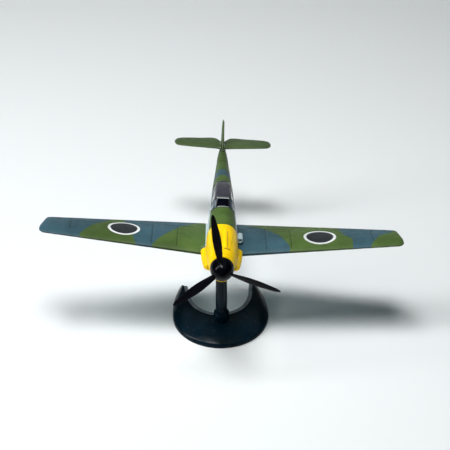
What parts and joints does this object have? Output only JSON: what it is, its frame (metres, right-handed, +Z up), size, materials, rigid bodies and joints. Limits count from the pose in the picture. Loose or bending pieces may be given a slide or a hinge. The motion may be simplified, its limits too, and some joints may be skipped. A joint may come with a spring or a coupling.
{
  "type": "propeller aircraft display model",
  "caption": "Single-seat low-wing propeller fighter display model with a spinning propeller, nose up on a post and horseshoe foot.",
  "frame": {"origin": "on the table, on the axis of the stand's post", "axes": "+Z up; the aircraft's nose points to -Y and its left (port) wing to +X"},
  "size_m": [0.2678, 0.2326, 0.1425],
  "materials": {
    "stand_black": "polished moulded plastic",
    "camouflage": "moulded plastic with two-tone camouflage",
    "deck_green": "moulded plastic, eggshell",
    "tail_green": "moulded plastic, eggshell",
    "pale_blue": "moulded plastic, eggshell",
    "nose_yellow": "moulded plastic, satin",
    "structure_grey": "moulded plastic, matt",
    "cockpit_dark": "moulded plastic, matt",
    "clear_canopy": "tinted clear plastic",
    "propeller_black": "moulded plastic, satin",
    "tyre_black": "moulded plastic, matt"
  },
  "bodies": {
    "foot": {"stand_base": "stand_black"},
    "post": {"stand_post": "stand_black"},
    "aircraft": {"centre_block": "structure_grey", "wing_spar": "structure_grey", "wing_upper_left": "camouflage", "wing_upper_right": "camouflage", "wing_lower_left": "pale_blue", "wing_lower_right": "pale_blue", "root_fairing_left": "pale_blue", "root_fairing_right": "pale_blue", "fuselage_left": "pale_blue", "fuselage_right": "pale_blue", "engine_block": "structure_grey", "cowl_upper": "nose_yellow", "cowl_lower": "nose_yellow", "oil_cooler_scoop": "nose_yellow", "exhaust_left": "nose_yellow", "exhaust_right": "nose_yellow", "supercharger_intake": "pale_blue", "cowl_deck": "deck_green", "rear_deck": "deck_green", "rear_former": "structure_grey", "cockpit_tub": "cockpit_dark", "seat": "structure_grey", "instrument_panel": "cockpit_dark", "control_column": "cockpit_dark", "windscreen": "clear_canopy", "canopy_hood": "clear_canopy", "tail_section": "tail_green", "tail_fin": "tail_green", "rudder": "tail_green", "tailplane_left": "tail_green", "tailplane_right": "tail_green", "tail_wheel": "tyre_black", "radiator_left": "pale_blue", "radiator_right": "pale_blue", "gear_leg_left": "structure_grey", "gear_leg_right": "structure_grey", "gear_door_left": "pale_blue", "gear_door_right": "pale_blue"},
    "propeller": {"propeller_blades": "propeller_black", "spinner": "propeller_black", "spinner_backplate": "propeller_black", "propeller_shaft": "structure_grey", "shaft_retainer": "structure_grey"},
    "wheel_left": {"wheel_hub_left": "structure_grey", "tyre_left": "tyre_black"},
    "wheel_right": {"wheel_hub_right": "structure_grey", "tyre_right": "tyre_black"}
  },
  "joints": [
    {"name": "stand_swivel", "type": "hinge", "parent": "foot", "child": "post", "pos_m": [0, 0, 0.016], "axis": [0, 0, 1], "continuous": true},
    {"name": "aircraft_lift_off", "type": "slide", "parent": "post", "child": "aircraft", "axis": [0.0436, 0.1735, 0.9839], "range_m": [0, 0.03]},
    {"name": "propeller_spin", "type": "hinge", "parent": "aircraft", "child": "propeller", "pos_m": [0.00045, -0.05454, 0.09962], "axis": [0, 0.9848, -0.1736], "continuous": true},
    {"name": "wheel_left_spin", "type": "hinge", "parent": "aircraft", "child": "wheel_left", "pos_m": [0.04696, 0.00496, 0.07884], "axis": [-0.0523, 0.1734, 0.9835], "continuous": true},
    {"name": "wheel_right_spin", "type": "hinge", "parent": "aircraft", "child": "wheel_right", "pos_m": [-0.04677, 0.00567, 0.08287], "axis": [0.1392, 0.172, 0.9752], "continuous": true}
  ]
}
